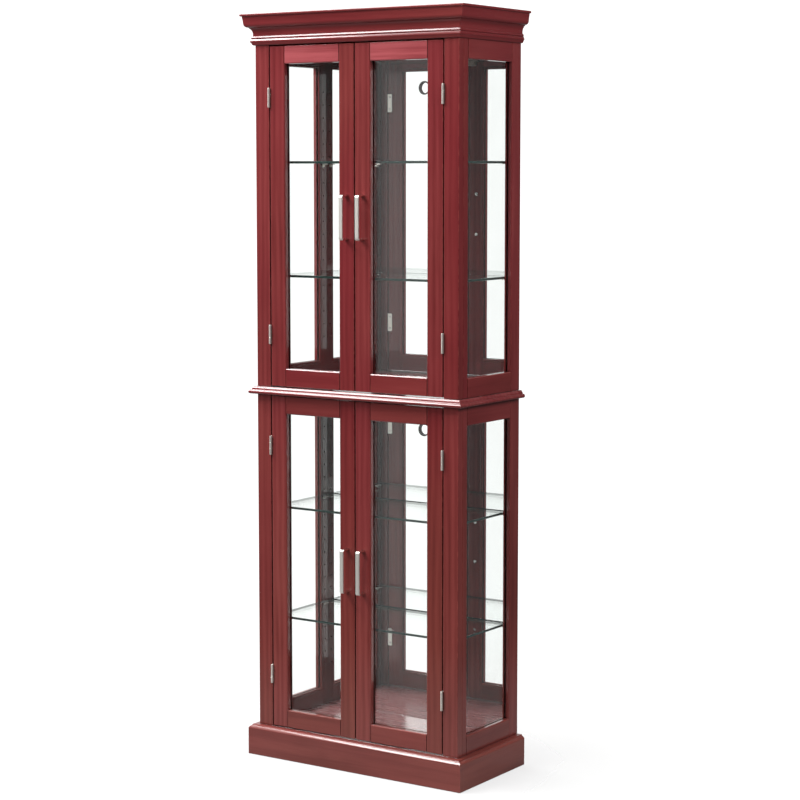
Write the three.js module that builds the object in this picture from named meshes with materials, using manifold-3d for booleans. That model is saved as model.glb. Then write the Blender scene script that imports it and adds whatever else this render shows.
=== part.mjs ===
// Two-section display cabinet: glazed carcass on a moulded plinth, moulded waist board, mitred
// crown cornice, and two pairs of glazed doors hung on butt hinges whose knuckles stand proud.
// Millimetres. +Z up, -Y is the front, +X is to the right of someone facing the doors.
// Origin: centre of the overall footprint, on the floor.
import * as THREE from 'three';
import * as BufferGeometryUtils from 'three/addons/utils/BufferGeometryUtils.js';
import Module from 'manifold-3d';

const wasm = await Module();
wasm.setup();

// ---------------------------------------------------------------- driving dimensions
const HEIGHT = 1800;            // floor to the top of the cornice
const BODY_W = 576;             // carcass, outside faces of the side frames
const BODY_D = 271;             // carcass, front face to back face
const CORNICE_OVER = 27;        // cornice overhang at the front and both sides
const BASE_OVER = 20;           // plinth overhang, same three sides
const WAIST_OVER = 16.3;        // waist board overhang, same three sides

const PLINTH_TOP = 74;          // ledge on which the lower section stands
const WAIST_BOTTOM = 892;
const WAIST_TOP = 910;
const CORNICE_BOTTOM = 1726;

const FRAME_T = 20;             // thickness of posts, side frames and doors
const POST_W = 40;              // width of a front corner post, seen from the front
const SIDE_FRONT = 40;          // wood in front of the side glass, post edge included
const SIDE_REAR = 39;           // rear stile of a side frame
const SIDE_SETBACK = 10;        // outside face of a side frame to its glass
const GAP = 3;                  // clearance round each door
const STILE_W = 43;             // door stiles
const DOOR_SETBACK = 12;        // front face of a door to its glass
const REBATE = 7;               // glass held this far beyond the sight edge
const GLASS_T = 4;

const DOOR_Z = { upper: [913, 1723], lower: [77, 889] };
const SIGHT_Z = { upper: [956, 1681], lower: [119, 846] };   // glass openings, doors and sides alike
const SHELF_Z = { upper: [1177, 1449], lower: [342, 614] };  // mid height of each glass shelf
const SHELF_T = 6;
const SHELF_X = 262;            // half length of a shelf
const SHELF_Y = [-92, 132];

const TOP_T = 18;               // cover board inside the cornice
const CEILING_Z = [1702, 1718]; // board that closes the upper compartment
const BOTTOM_T = 18;
const MIRROR_Y = [138.7, 141.7];
const BACKING_Y = [142, 148];
const OUTLET_R = 14;            // cable outlet through mirror and backing
const OUTLET_X = 24;
const OUTLET_Z = { upper: 1628, lower: 798 };

const HINGE_Z = { upper: [1037, 1602], lower: [205, 768] };
const HINGE_L = 46;
const KNUCKLE_R = 2.8;
const PIN_R = 1.1;
const PIN_BORE_R = 1.4;
const HINGE_PROUD = 3.2;        // pin axis in front of the door face
const LEAF_T = 1.05;

const PULL_L = 105;
const PULL_W = 10;
const PULL_T = 4;
const PULL_OUT = 24.5;
const PULL_Z = { upper: 1320, lower: 484 };

const FIT = 0.3;                // clearance kept between neighbouring pieces

// ---------------------------------------------------------------- derived
const HX = BODY_W / 2;
const BACK = (BODY_D + CORNICE_OVER) / 2;
const FRONT = BACK - BODY_D;
const REAR_OF_FRAME = FRONT + FRAME_T;
const DOOR_OUT = HX - POST_W - GAP;
const DOOR_IN = GAP / 2;
const PIN_X = HX - POST_W - GAP / 2;
const PIN_Y = FRONT - HINGE_PROUD;

// ---------------------------------------------------------------- materials
const mat = (hex, roughness, metalness = 0, opacity = 1) => new THREE.MeshStandardMaterial({
  color: hex, roughness, metalness, opacity, transparent: opacity < 1,
});
const WOOD = 0x6e2c2c, WOOD_SIDE = 0x5c2224, BACKING = 0x4a3a34;
const wood = () => mat(WOOD, 0.35);
const woodSide = () => mat(WOOD_SIDE, 0.35);
const glass = () => mat(0xdfeee8, 0.05, 0, 0.25);
const mirrorMat = () => mat(0xe8ecee, 0.02, 1);
const nickel = () => mat(0xc9c0b2, 0.3, 1);

// ---------------------------------------------------------------- helpers
const root = new THREE.Group();
root.name = 'display_cabinet';

function put(name, geometry, material, parent = root) {
  const mesh = new THREE.Mesh(geometry, material);
  mesh.name = name;
  parent.add(mesh);
  return mesh;
}

function bare(geometry) {
  const g = geometry.index ? geometry.clone() : geometry.clone();
  for (const key of Object.keys(g.attributes)) if (key !== 'position') g.deleteAttribute(key);
  return BufferGeometryUtils.mergeVertices(g, 1e-4);
}

function solid(geometry) {
  const g = bare(geometry);
  return new wasm.Manifold(new wasm.Mesh({
    numProp: 3,
    vertProperties: new Float32Array(g.attributes.position.array),
    triVerts: new Uint32Array(g.index.array),
  }));
}

function fromSolid(s) {
  const m = s.getMesh();
  const g = new THREE.BufferGeometry();
  g.setAttribute('position', new THREE.BufferAttribute(new Float32Array(m.vertProperties), 3));
  g.setIndex(new THREE.BufferAttribute(new Uint32Array(m.triVerts), 1));
  const flat = g.toNonIndexed();
  flat.computeVertexNormals();
  return flat;
}

// box between two corners
function box(x0, x1, y0, y1, z0, z1) {
  const g = new THREE.BoxGeometry(Math.abs(x1 - x0), Math.abs(y1 - y0), Math.abs(z1 - z0));
  g.translate((x0 + x1) / 2, (y0 + y1) / 2, (z0 + z1) / 2);
  return g;
}

// upright cylinder
function rod(x, y, z0, z1, r, sides = 16) {
  const g = new THREE.CylinderGeometry(r, r, z1 - z0, sides);
  g.rotateX(Math.PI / 2);
  g.translate(x, y, (z0 + z1) / 2);
  return g;
}

// moulding with mitred ends: profile points are [overhang, height]
function outline(points) {
  const s = new THREE.Shape();
  points.forEach(([o, z], i) => (i ? s.lineTo(o, z) : s.moveTo(o, z)));
  s.closePath();
  return s;
}
function moulding(points, place) {
  const g = new THREE.ExtrudeGeometry(outline(points), { depth: 1, steps: 1, bevelEnabled: false });
  const p = g.attributes.position;
  const v = new THREE.Vector3();
  for (let i = 0; i < p.count; i += 1) {
    place(p.getX(i), p.getY(i), p.getZ(i) > 0.5 ? 1 : 0, v);
    p.setXYZ(i, v.x, v.y, v.z);
  }
  g.computeVertexNormals();
  return g;
}
function turnedOut(g) {
  // reverse the winding when the remapping mirrors the solid
  const q = g.index ? g.toNonIndexed() : g;
  const a = q.attributes.position.array;
  for (let i = 0; i < a.length; i += 9) {
    for (let k = 0; k < 3; k += 1) {
      const t = a[i + 3 + k]; a[i + 3 + k] = a[i + 6 + k]; a[i + 6 + k] = t;
    }
  }
  q.computeVertexNormals();
  return q;
}
function signedVolume(g) {
  const q = g.index ? g.toNonIndexed() : g;
  const a = q.attributes.position.array;
  let s = 0;
  for (let i = 0; i < a.length; i += 9) {
    s += a[i] * (a[i + 4] * a[i + 8] - a[i + 5] * a[i + 7])
       - a[i + 1] * (a[i + 3] * a[i + 8] - a[i + 5] * a[i + 6])
       + a[i + 2] * (a[i + 3] * a[i + 7] - a[i + 4] * a[i + 6]);
  }
  return s / 6;
}
const outward = (g) => (signedVolume(g) < 0 ? turnedOut(g) : g);

const frontMoulding = (points) => outward(moulding(points, (o, z, t, v) => {
  v.set((t ? 1 : -1) * (HX + o - FIT / 2), FRONT - o, z);
}));
const sideMoulding = (points, sign) => outward(moulding(points, (o, z, t, v) => {
  v.set(sign * (HX + o), t ? BACK : FRONT - o + FIT / 2, z);
}));

// board moulded on the front and both sides, square at the back
function mouldedBoard(levels) {
  const n = levels.length - 1;
  const g = new THREE.BoxGeometry(2, 2, n, 1, 1, n);
  const p = g.attributes.position;
  for (let i = 0; i < p.count; i += 1) {
    const [o, z] = levels[Math.round(p.getZ(i) + n / 2)];
    p.setXYZ(i, Math.sign(p.getX(i)) * (HX + o), p.getY(i) < 0 ? FRONT - o : BACK, z);
  }
  g.computeVertexNormals();
  return g;
}

// ---------------------------------------------------------------- base
const basePoints = [
  [FIT, 0], [BASE_OVER, 0], [BASE_OVER, 64], [19.4, 67.4], [17.4, 69.8], [14.6, 71],
  [12.8, 72.2], [12.2, PLINTH_TOP], [FIT, PLINTH_TOP],
];
put('plinth_front', frontMoulding(basePoints), wood());
put('plinth_left', sideMoulding(basePoints, -1), woodSide());
put('plinth_right', sideMoulding(basePoints, 1), woodSide());
put('bottom_panel', box(-HX + FIT, HX - FIT, FRONT + FIT, BACK, PLINTH_TOP - BOTTOM_T, PLINTH_TOP), wood());

// ---------------------------------------------------------------- waist board
put('waist_board', mouldedBoard([
  [14.2, WAIST_BOTTOM], [15.9, WAIST_BOTTOM + 1.7], [WAIST_OVER, WAIST_BOTTOM + 4.2],
  [15.8, WAIST_BOTTOM + 6.6], [13.6, WAIST_BOTTOM + 8.4], [10.2, WAIST_BOTTOM + 10],
  [7.2, WAIST_BOTTOM + 13], [5.6, WAIST_BOTTOM + 16], [4.4, WAIST_TOP],
]), wood());

// ---------------------------------------------------------------- cornice and top
const cornicePoints = [
  [FIT, CORNICE_BOTTOM], [2.6, 1728.6], [7.4, 1731.6], [8.5, 1734.4], [8.2, 1737.4],
  [6, 1739.4], [6.6, 1742], [6.4, 1746], [4, 1748.4], [4.2, 1753], [5.4, 1759], [7.8, 1764],
  [11.4, 1767.6], [15.6, 1770.4], [18.6, 1774.6], [20.4, 1781], [22.4, 1790], [23, 1794.4],
  [26, 1795.4], [CORNICE_OVER, 1797], [CORNICE_OVER, HEIGHT], [FIT, HEIGHT],
];
put('cornice_front', frontMoulding(cornicePoints), wood());
put('cornice_left', sideMoulding(cornicePoints, -1), woodSide());
put('cornice_right', sideMoulding(cornicePoints, 1), woodSide());
put('top_panel', box(-HX + FIT, HX - FIT, FRONT + FIT, BACK, HEIGHT - TOP_T, HEIGHT), wood());
put('ceiling_panel', box(-HX + FRAME_T + FIT, HX - FRAME_T - FIT, REAR_OF_FRAME + FIT, MIRROR_Y[1],
  CEILING_Z[0], CEILING_Z[1]), wood());

// ---------------------------------------------------------------- the two sections
const SECTION_Z = {
  upper: [WAIST_TOP + FIT, HEIGHT - TOP_T - FIT],
  lower: [PLINTH_TOP + FIT, WAIST_BOTTOM - FIT],
};
const INSIDE_TOP = { upper: CEILING_Z[0], lower: WAIST_BOTTOM };

for (const level of ['upper', 'lower']) {
  const [z0, z1] = SECTION_Z[level];
  const [s0, s1] = SIGHT_Z[level];

  for (const [side, sign] of [['left', -1], ['right', 1]]) {
    // corner post, flush with the doors
    put(`${level}_${side}_post`, box(sign * (HX - POST_W), sign * HX, FRONT, REAR_OF_FRAME, z0, z1), wood());

    // side frame: two stiles, two rails, rebated on the inside for its glass
    const yA = FRONT + SIDE_FRONT, yB = BACK - SIDE_REAR;
    const xo = sign * HX, xi = sign * (HX - FRAME_T), xs = sign * (HX - SIDE_SETBACK);
    const frame = solid(box(xi, xo, REAR_OF_FRAME + FIT, BACK, z0, z1))
      .subtract(solid(box(xi - sign, xo + sign, yA, yB, s0, s1)))
      .subtract(solid(box(xi - sign, xs, yA - REBATE, yB + REBATE, s0 - REBATE, s1 + REBATE)));
    put(`${level}_${side}_side_frame`, fromSolid(frame), woodSide());

    const e = REBATE - FIT;
    put(`${level}_${side}_side_glass`, box(xs - sign * FIT, xs - sign * (FIT + GLASS_T),
      yA - e, yB + e, s0 - e, s1 + e), glass());
  }

  // mirrored back and the board behind it, both drilled for a lamp cord
  const wx = HX - FRAME_T - FIT;
  const drill = () => {
    const g = new THREE.CylinderGeometry(OUTLET_R, OUTLET_R, 40, 24);
    g.translate(OUTLET_X, (MIRROR_Y[0] + BACKING_Y[1]) / 2, OUTLET_Z[level]);
    return solid(g);
  };
  put(`${level}_mirror`, fromSolid(solid(box(-wx, wx, MIRROR_Y[0], MIRROR_Y[1], z0, INSIDE_TOP[level] - FIT))
    .subtract(drill())), mirrorMat());
  put(`${level}_back_board`, fromSolid(solid(box(-wx, wx, BACKING_Y[0], BACKING_Y[1], z0, z1))
    .subtract(drill())), mat(BACKING, 0.7));

  // glass shelves
  SHELF_Z[level].forEach((z, i) => {
    put(`${level}_shelf_${i + 1}`, box(-SHELF_X, SHELF_X, SHELF_Y[0], SHELF_Y[1], z - SHELF_T / 2, z + SHELF_T / 2), glass());
  });

  // double magnetic catch under the ceiling of the section, behind the meeting stiles
  const cz = INSIDE_TOP[level] - FIT;
  const catchBody = solid(box(-23, 23, REAR_OF_FRAME + 1.2, REAR_OF_FRAME + 15, cz - 11, cz))
    .add(solid(box(-31, 31, REAR_OF_FRAME + 4, REAR_OF_FRAME + 15, cz - 2, cz)));
  put(`${level}_catch`, fromSolid(catchBody), mat(0xd8d2c6, 0.5));
}

// ---------------------------------------------------------------- doors and hinges
function framedLeaf(sign, z0, z1, s0, s1) {
  const xo = sign * DOOR_OUT, xn = sign * DOOR_IN;
  const so = sign * (DOOR_OUT - STILE_W), sn = sign * (DOOR_IN + STILE_W);
  const lip = FRONT + DOOR_SETBACK;
  return solid(box(xn, xo, FRONT, REAR_OF_FRAME, z0, z1))
    .subtract(solid(box(sn, so, FRONT - 1, REAR_OF_FRAME + 1, s0, s1)))
    .subtract(solid(box(sn - sign * REBATE, so + sign * REBATE, lip, REAR_OF_FRAME + 1, s0 - REBATE, s1 + REBATE)));
}

// bent flat-bar pull: the strip runs out from the door, along, and back
function pull() {
  const y0 = FRONT - FIT, y1 = y0 - PULL_OUT, h = PULL_L / 2, t = PULL_T, c = 2.2;
  const s = new THREE.Shape();
  s.moveTo(y0, -h); s.lineTo(y1 + c, -h); s.lineTo(y1, -h + c); s.lineTo(y1, h - c);
  s.lineTo(y1 + c, h); s.lineTo(y0, h); s.lineTo(y0, h - t); s.lineTo(y1 + t, h - t);
  s.lineTo(y1 + t, -h + t); s.lineTo(y0, -h + t);
  s.closePath();
  const g = new THREE.ExtrudeGeometry(s, { depth: PULL_W, bevelEnabled: false });
  const p = g.attributes.position;
  for (let i = 0; i < p.count; i += 1) p.setXYZ(i, p.getZ(i) - PULL_W / 2, p.getX(i), p.getY(i));
  g.computeVertexNormals();
  return outward(g);
}

for (const level of ['upper', 'lower']) {
  const [z0, z1] = DOOR_Z[level];
  const [s0, s1] = SIGHT_Z[level];
  for (const [side, sign] of [['left', -1], ['right', 1]]) {
    const door = new THREE.Group();
    door.name = `${level}_${side}_door`;
    root.add(door);

    put(`${level}_${side}_door_frame`, fromSolid(framedLeaf(sign, z0, z1, s0, s1)), wood(), door);

    const e = REBATE - FIT, lip = FRONT + DOOR_SETBACK + FIT;
    put(`${level}_${side}_door_glass`, box(sign * (DOOR_IN + STILE_W - e), sign * (DOOR_OUT - STILE_W + e),
      lip, lip + GLASS_T, s0 - e, s1 + e), glass(), door);

    const handle = put(`${level}_${side}_pull`, pull(), nickel(), door);
    handle.position.set(sign * (DOOR_IN + STILE_W / 2), 0, PULL_Z[level]);

    HINGE_Z[level].forEach((zc, i) => {
      const tag = i ? 'top' : 'bottom';
      const h0 = zc - HINGE_L / 2, h1 = zc + HINGE_L / 2;
      const k = HINGE_L / 6;                    // the middle third belongs to the door
      const px = sign * PIN_X;
      const near = 0.15, far = near + LEAF_T;   // leaf faces, measured from the pin axis
      const plateY0 = PIN_Y + KNUCKLE_R + 0.35;

      // fixed leaf on the edge of the post, two knuckles and the pin
      const fx0 = px + sign * near, fx1 = px + sign * far;
      const fixed = solid(box(fx0, fx1, plateY0, REAR_OF_FRAME - 1.5, h0, h1))
        .add(solid(box(fx0, fx1, PIN_Y + 0.8, plateY0 + 0.5, h0, zc - k)))
        .add(solid(box(fx0, fx1, PIN_Y + 0.8, plateY0 + 0.5, zc + k, h1)))
        .add(solid(rod(px, PIN_Y, h0, zc - k, KNUCKLE_R)))
        .add(solid(rod(px, PIN_Y, zc + k, h1, KNUCKLE_R)))
        .add(solid(rod(px, PIN_Y, h0 + 1, h1 - 1, PIN_R, 12)));
      put(`${level}_${side}_${tag}_hinge_fixed_leaf`, fromSolid(fixed), nickel());

      // moving leaf on the edge of the door, wrapped on to its back, with the middle knuckle
      const mx0 = px - sign * near, mx1 = px - sign * far;
      const moving = solid(box(mx0, mx1, plateY0, REAR_OF_FRAME + FIT + 1.2, h0, h1))
        .add(solid(box(mx0, px - sign * 13.5, REAR_OF_FRAME + FIT, REAR_OF_FRAME + FIT + 1.2, h0, h1)))
        .add(solid(box(mx0, mx1, PIN_Y + 0.8, plateY0 + 0.5, zc - k + FIT, zc + k - FIT)))
        .add(solid(rod(px, PIN_Y, zc - k + FIT, zc + k - FIT, KNUCKLE_R)))
        .subtract(solid(rod(px, PIN_Y, zc - k - 2, zc + k + 2, PIN_BORE_R, 12)));
      put(`${level}_${side}_${tag}_hinge_door_leaf`, fromSolid(moving), nickel(), door);
    });
  }
}

root.updateMatrixWorld(true);
export default root;
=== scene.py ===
import bpy, bmesh, math, random
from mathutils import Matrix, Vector


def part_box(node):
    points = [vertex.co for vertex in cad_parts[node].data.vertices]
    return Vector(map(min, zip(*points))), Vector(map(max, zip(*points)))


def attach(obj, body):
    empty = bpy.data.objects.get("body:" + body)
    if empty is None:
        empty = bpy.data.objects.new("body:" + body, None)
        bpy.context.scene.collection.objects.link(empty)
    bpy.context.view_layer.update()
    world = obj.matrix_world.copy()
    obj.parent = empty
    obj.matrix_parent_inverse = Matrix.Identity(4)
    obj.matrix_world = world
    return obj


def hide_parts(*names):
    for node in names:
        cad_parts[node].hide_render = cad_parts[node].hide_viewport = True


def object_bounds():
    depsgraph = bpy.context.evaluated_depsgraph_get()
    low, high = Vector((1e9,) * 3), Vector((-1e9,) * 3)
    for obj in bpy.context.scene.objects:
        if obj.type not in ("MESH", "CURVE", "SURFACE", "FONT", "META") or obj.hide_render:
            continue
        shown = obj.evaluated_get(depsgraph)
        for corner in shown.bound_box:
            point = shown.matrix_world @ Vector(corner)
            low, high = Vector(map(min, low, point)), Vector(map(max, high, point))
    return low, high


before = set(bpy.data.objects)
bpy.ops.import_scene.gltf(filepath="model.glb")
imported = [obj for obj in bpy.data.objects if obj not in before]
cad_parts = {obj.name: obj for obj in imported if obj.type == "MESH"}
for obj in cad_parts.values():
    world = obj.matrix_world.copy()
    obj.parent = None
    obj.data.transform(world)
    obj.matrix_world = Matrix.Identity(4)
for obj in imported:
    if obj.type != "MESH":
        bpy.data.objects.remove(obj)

CAD_LO, CAD_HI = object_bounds()
MM = 0.001
rng = random.Random(71)


# ------------------------------------------------------------------ node helpers
class Nodes:
    def __init__(self, name):
        self.mat = bpy.data.materials.new(name)
        self.mat.use_nodes = True
        self.t = self.mat.node_tree
        self.t.nodes.clear()
        self.out = self.t.nodes.new("ShaderNodeOutputMaterial")

    def n(self, kind, **kw):
        node = self.t.nodes.new(kind)
        for k, v in kw.items():
            setattr(node, k, v)
        return node

    def l(self, a, b):
        self.t.links.new(a, b)

    def put(self, sock, v):
        if hasattr(v, "is_output"):
            self.l(v, sock)
        else:
            sock.default_value = v

    def math(self, op, a, b=0.5, c=None, clamp=False):
        m = self.n("ShaderNodeMath", operation=op, use_clamp=clamp)
        self.put(m.inputs[0], a)
        self.put(m.inputs[1], b)
        if c is not None:
            self.put(m.inputs[2], c)
        return m.outputs[0]

    def vmul(self, v, s):
        m = self.n("ShaderNodeVectorMath", operation="MULTIPLY")
        self.put(m.inputs[0], v)
        m.inputs[1].default_value = s
        return m.outputs[0]

    def noise(self, v, scale, detail=2.0, rough=0.5, dist=0.0):
        m = self.n("ShaderNodeTexNoise")
        self.l(v, m.inputs["Vector"])
        m.inputs["Scale"].default_value = scale
        m.inputs["Detail"].default_value = detail
        m.inputs["Roughness"].default_value = rough
        m.inputs["Distortion"].default_value = dist
        return m.outputs["Fac"]

    def ramp(self, fac, stops):
        r = self.n("ShaderNodeValToRGB")
        while len(r.color_ramp.elements) < len(stops):
            r.color_ramp.elements.new(0.5)
        for e, (p, c) in zip(r.color_ramp.elements, stops):
            e.position = p
            e.color = (*c, 1) if len(c) == 3 else c
        self.put(r.inputs[0], fac)
        return r.outputs["Color"]

    def mix(self, fac, a, b, blend="MIX"):
        m = self.n("ShaderNodeMix", data_type="RGBA", blend_type=blend)
        self.put(m.inputs[0], fac)
        self.put(m.inputs[6], a if hasattr(a, "is_output") else (*a, 1))
        self.put(m.inputs[7], b if hasattr(b, "is_output") else (*b, 1))
        return m.outputs[2]

    def span(self, v, a, b, c, d, clamp=True):
        m = self.n("ShaderNodeMapRange", clamp=clamp)
        self.put(m.inputs[0], v)
        for i, x in enumerate((a, b, c, d)):
            m.inputs[i + 1].default_value = x
        return m.outputs[0]

    def bump(self, height, strength, distance, normal=None):
        b = self.n("ShaderNodeBump")
        b.inputs["Strength"].default_value = strength
        b.inputs["Distance"].default_value = distance
        self.l(height, b.inputs["Height"])
        if normal is not None:
            self.l(normal, b.inputs["Normal"])
        return b.outputs["Normal"]

    def attr(self, name):
        a = self.n("ShaderNodeAttribute", attribute_type="GEOMETRY", attribute_name=name)
        return a.outputs["Vector"]

    def obj(self):
        return self.n("ShaderNodeTexCoord").outputs["Object"]


def lacquered_wood(name, dark, mid, light, pale, arris_highlight, coat=0.95, rough=0.34, coat_rough=0.075, coat_ior=1.5, spec=0.1):
    """Stained cherry under satin lacquer. 'grain' runs along x of the board's own coordinates."""
    m = Nodes(name)
    g = m.attr("grain")
    streak = m.noise(m.vmul(g, (1.1, 26.0, 26.0)), 2.4, 5.0, 0.6, 0.5)
    fine = m.noise(m.vmul(g, (7.0, 300.0, 300.0)), 1.6, 3.0, 0.65)
    pore = m.noise(m.vmul(g, (34.0, 800.0, 800.0)), 1.3, 2.0, 0.55)
    cloud = m.noise(m.vmul(g, (2.2, 5.0, 5.0)), 1.6, 3.0, 0.5)
    figure = m.n("ShaderNodeTexWave", wave_type="BANDS", bands_direction="Y", wave_profile="SIN")
    m.l(m.vmul(g, (0.45, 5.0, 4.0)), figure.inputs["Vector"])
    figure.inputs["Scale"].default_value = 4.0
    figure.inputs["Distortion"].default_value = 6.5
    figure.inputs["Detail"].default_value = 2.5
    figure.inputs["Detail Scale"].default_value = 0.8
    f = m.math("MULTIPLY_ADD", streak, 0.5, m.math("MULTIPLY", figure.outputs["Fac"], 0.14))
    f = m.math("MULTIPLY_ADD", fine, 0.16, f)
    f = m.math("MULTIPLY_ADD", cloud, 0.34, m.math("SUBTRACT", f, 0.07))
    base = m.ramp(f, [(0.16, dark), (0.5, mid), (0.86, light)])
    drift = m.noise(m.vmul(g, (1.3, 3.0, 3.0)), 1.1, 2.0, 0.5)
    low = m.n("ShaderNodeSeparateXYZ")
    m.l(m.obj(), low.inputs[0])
    browner = m.math("ADD", m.span(drift, 0.38, 0.68, 0.0, 0.3), m.span(low.outputs[2], 0.0, 0.95, 0.7, 0.0), clamp=True)
    base = m.mix(browner, base, m.ramp(f, [(0.16, (0.092, 0.020, 0.015)), (0.5, (0.172, 0.042, 0.030)), (0.86, (0.235, 0.060, 0.042))]))
    # pale tint by each board's tone: a random stain tone, but painted light where set high (painted highlight on the
    # upper top rails, painted reflection on the bottom panel)
    tone_and_sheen = m.n("ShaderNodeAttribute", attribute_type="GEOMETRY", attribute_name="tone_and_sheen").outputs["Fac"]
    base = m.mix(tone_and_sheen, base, m.mix(m.span(f, 0.3, 0.7, 0.0, 1.0), mid, pale))
    pores = m.span(pore, 0.24, 0.34, 0.25, 0.0)
    base = m.mix(pores, base, tuple(c * 0.4 for c in dark))
    # painted shade: inside faces of the two ends darkened, as the cabinet's interior gets little light
    nx = m.n("ShaderNodeSeparateXYZ")
    m.l(m.n("ShaderNodeTexCoord").outputs["Normal"], nx.inputs[0])
    inward = m.math("MULTIPLY", nx.outputs[0], low.outputs[0])
    base = m.mix(m.span(inward, -0.235, -0.215, 0.62, 0.0), base, tuple(c * 0.4 for c in dark))
    # arrises: painted highlight, a lighter colour along the edges of each board, broken into patches
    p = m.n("ShaderNodeVectorMath", operation="ABSOLUTE")
    m.l(m.attr("bpos"), p.inputs[0])
    d = m.n("ShaderNodeVectorMath", operation="SUBTRACT")
    m.l(m.attr("bhalf"), d.inputs[0])
    m.l(p.outputs[0], d.inputs[1])
    s = m.n("ShaderNodeSeparateXYZ")
    m.l(d.outputs[0], s.inputs[0])
    x, y, z = s.outputs
    small = m.math("MINIMUM", m.math("MINIMUM", x, y), z)
    big = m.math("MAXIMUM", m.math("MAXIMUM", x, y), z)
    total = m.math("ADD", m.math("ADD", x, y), z)
    middle = m.math("SUBTRACT", m.math("SUBTRACT", total, small), big)
    edge = m.span(middle, 0.0004, 0.0022, 1.0, 0.0)
    arris_patches = m.span(m.noise(g, 60.0, 4.0, 0.65), 0.42, 0.66, 0.0, 1.0)
    arris_highlight_mask = m.math("MULTIPLY", m.math("MULTIPLY", edge, arris_patches), 0.55)
    # painted highlight mixed in on the arrises
    base = m.mix(arris_highlight_mask, base, arris_highlight)
    b = m.n("ShaderNodeBsdfPrincipled")
    m.l(base, b.inputs["Base Color"])
    r = m.math("MULTIPLY_ADD", m.noise(m.vmul(g, (3.0, 22.0, 22.0)), 2.2, 4.0, 0.6), 0.16, rough - 0.08)
    r = m.math("MULTIPLY_ADD", pores, 0.12, r)
    m.l(r, b.inputs["Roughness"])
    b.inputs["IOR"].default_value = 1.5
    b.inputs["Coat Weight"].default_value = coat
    b.inputs["Coat Roughness"].default_value = coat_rough
    b.inputs["Coat IOR"].default_value = coat_ior
    b.inputs["Specular IOR Level"].default_value = spec
    # painted shade: colour darkened towards near-black in quirks, joints and gaps, found by ambient occlusion over 5 mm
    ao = m.n("ShaderNodeAmbientOcclusion", samples=4)
    ao.inputs["Distance"].default_value = 0.005
    base = m.mix(m.span(ao.outputs["AO"], 0.25, 0.85, 0.8, 0.0), base, (0.012, 0.003, 0.003))
    m.l(base, b.inputs["Base Color"])
    h = m.math("MULTIPLY_ADD", fine, 0.5, m.math("MULTIPLY", pores, -0.8))
    h = m.math("MULTIPLY_ADD", m.noise(g, 210.0, 2.0, 0.5), 0.5, h)
    m.l(m.bump(h, 0.22, 0.0004), b.inputs["Normal"])
    m.l(b.outputs[0], m.out.inputs[0])
    return m.mat


def satin_nickel(name, colour=(0.92, 0.88, 0.81), rough=0.36, along=(400.0, 400.0, 12.0), metal=0.8):
    m = Nodes(name)
    o = m.obj()
    brush = m.noise(m.vmul(o, along), 2.0, 3.0, 0.7)
    blot = m.noise(o, 90.0, 3.0, 0.6)
    base = m.mix(m.span(blot, 0.35, 0.7, 0.0, 0.35), colour, tuple(c * 0.88 for c in colour))
    base = m.mix(m.span(brush, 0.4, 0.7, 0.0, 0.3), base, (0.97, 0.94, 0.89))
    b = m.n("ShaderNodeBsdfPrincipled")
    m.l(base, b.inputs["Base Color"])
    b.inputs["Metallic"].default_value = metal
    m.l(m.math("MULTIPLY_ADD", brush, 0.16, rough - 0.08), b.inputs["Roughness"])
    m.l(m.bump(brush, 0.18, 0.00008), b.inputs["Normal"])
    m.l(b.outputs[0], m.out.inputs[0])
    return m.mat


def pane_glass(name, tint=(0.985, 0.992, 0.988), film=0.024):
    """Thin clear pane: light goes straight on, and the surface mirrors by Fresnel."""
    m = Nodes(name)
    o = m.obj()
    smear = m.span(m.noise(m.vmul(o, (1.0, 1.0, 0.45)), 7.0, 5.0, 0.62, 1.2), 0.45, 0.75, 0.0, 1.0)
    see = m.n("ShaderNodeBsdfTransparent")
    m.l(m.mix(m.math("MULTIPLY", smear, 0.5), tint, tuple(c * 0.985 for c in tint)), see.inputs[0])
    gl = m.n("ShaderNodeBsdfGlossy")
    gl.inputs["Color"].default_value = (0.95, 0.97, 0.96, 1)
    m.l(m.math("MULTIPLY", smear, 0.003), gl.inputs["Roughness"])
    lw = m.n("ShaderNodeLayerWeight")
    fac = m.math("MULTIPLY_ADD", m.math("POWER", lw.outputs["Facing"], 5.0), 0.972, film)
    mx = m.n("ShaderNodeMixShader")
    m.l(fac, mx.inputs[0])
    m.l(see.outputs[0], mx.inputs[1])
    m.l(gl.outputs[0], mx.inputs[2])
    m.l(mx.outputs[0], m.out.inputs[0])
    return m.mat


def glass_edge(name):
    """Polished edge of float glass: dark sea green with brighter streaks."""
    m = Nodes(name)
    o = m.obj()
    v = m.noise(m.vmul(o, (22.0, 22.0, 500.0)), 2.0, 3.0, 0.6)
    b = m.n("ShaderNodeBsdfPrincipled")
    m.l(m.ramp(v, [(0.3, (0.006, 0.014, 0.012)), (0.6, (0.02, 0.042, 0.036)), (0.85, (0.09, 0.15, 0.135))]), b.inputs["Base Color"])
    m.l(m.math("MULTIPLY_ADD", v, 0.2, 0.04), b.inputs["Roughness"])
    b.inputs["IOR"].default_value = 1.5
    b.inputs["Coat Weight"].default_value = 0.5
    m.l(b.outputs[0], m.out.inputs[0])
    return m.mat


def silvered(name):
    m = Nodes(name)
    o = m.obj()
    haze = m.noise(o, 5.0, 4.0, 0.6, 0.8)
    b = m.n("ShaderNodeBsdfPrincipled")
    m.l(m.ramp(haze, [(0.3, (0.93, 0.94, 0.935)), (0.7, (0.965, 0.97, 0.968))]), b.inputs["Base Color"])
    b.inputs["Metallic"].default_value = 1.0
    m.l(m.span(haze, 0.3, 0.8, 0.0, 0.003), b.inputs["Roughness"])
    m.l(b.outputs[0], m.out.inputs[0])
    return m.mat


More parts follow.
